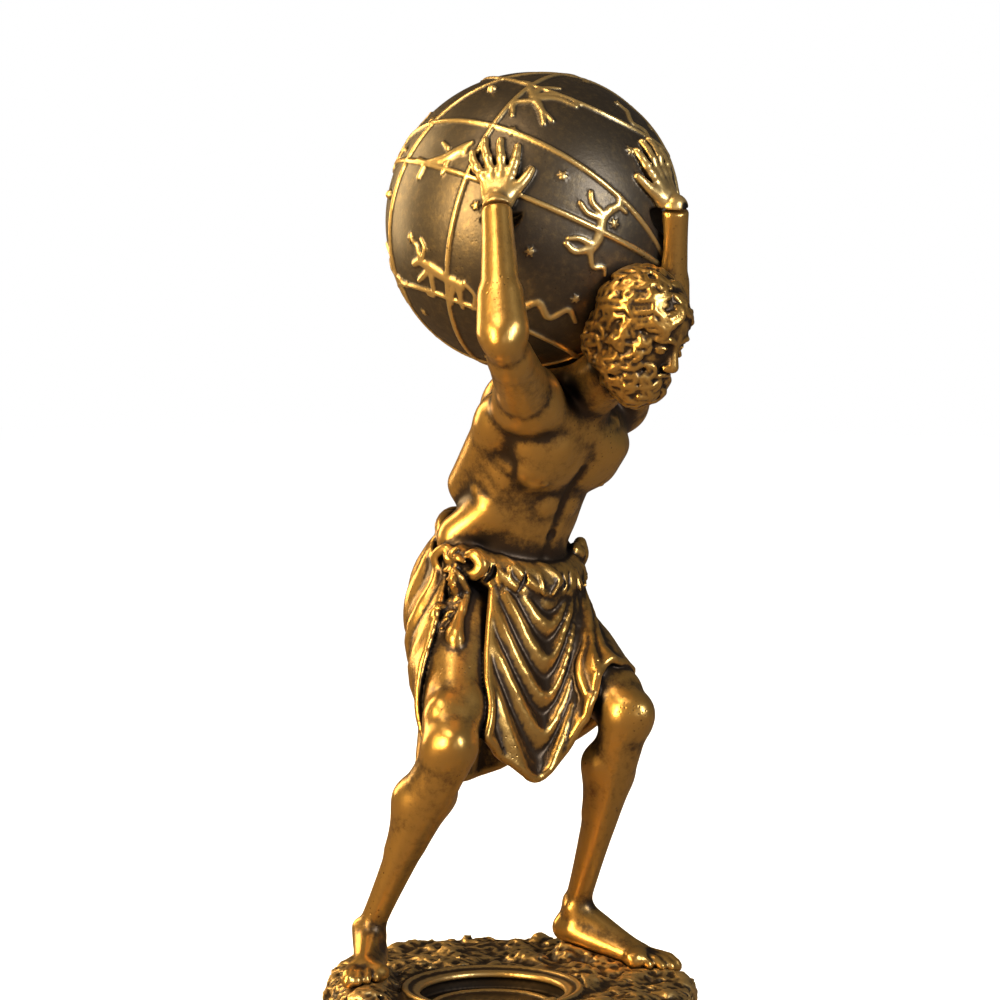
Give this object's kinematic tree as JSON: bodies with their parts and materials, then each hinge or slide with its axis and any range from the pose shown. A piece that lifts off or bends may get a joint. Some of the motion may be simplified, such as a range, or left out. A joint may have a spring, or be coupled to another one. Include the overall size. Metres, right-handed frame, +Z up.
{
  "type": "atlas statue",
  "caption": "Cast statue of a bearded, half-draped man who carries a celestial globe on his back, on a rough rock with a shallow round dish.",
  "frame": {"origin": "centre of the rock's flat underside", "axes": "+Z up; the man faces -Y, with his right side towards -X"},
  "size_m": [0.1256, 0.1199, 0.3004],
  "materials": {
    "figure_bronze": "antiqued bronze on cold-cast resin, dark ground with the high forms brushed gold",
    "globe_bronze": "antiqued bronze on cold-cast resin, dark brown ground with bright raised bands",
    "rock_bronze": "near-black bronze on cold-cast resin, the crags brushed gold"
  },
  "bodies": {
    "root": {"atlas_figure": "figure_bronze", "celestial_globe": "globe_bronze", "rock_base": "rock_bronze"}
  },
  "joints": []
}
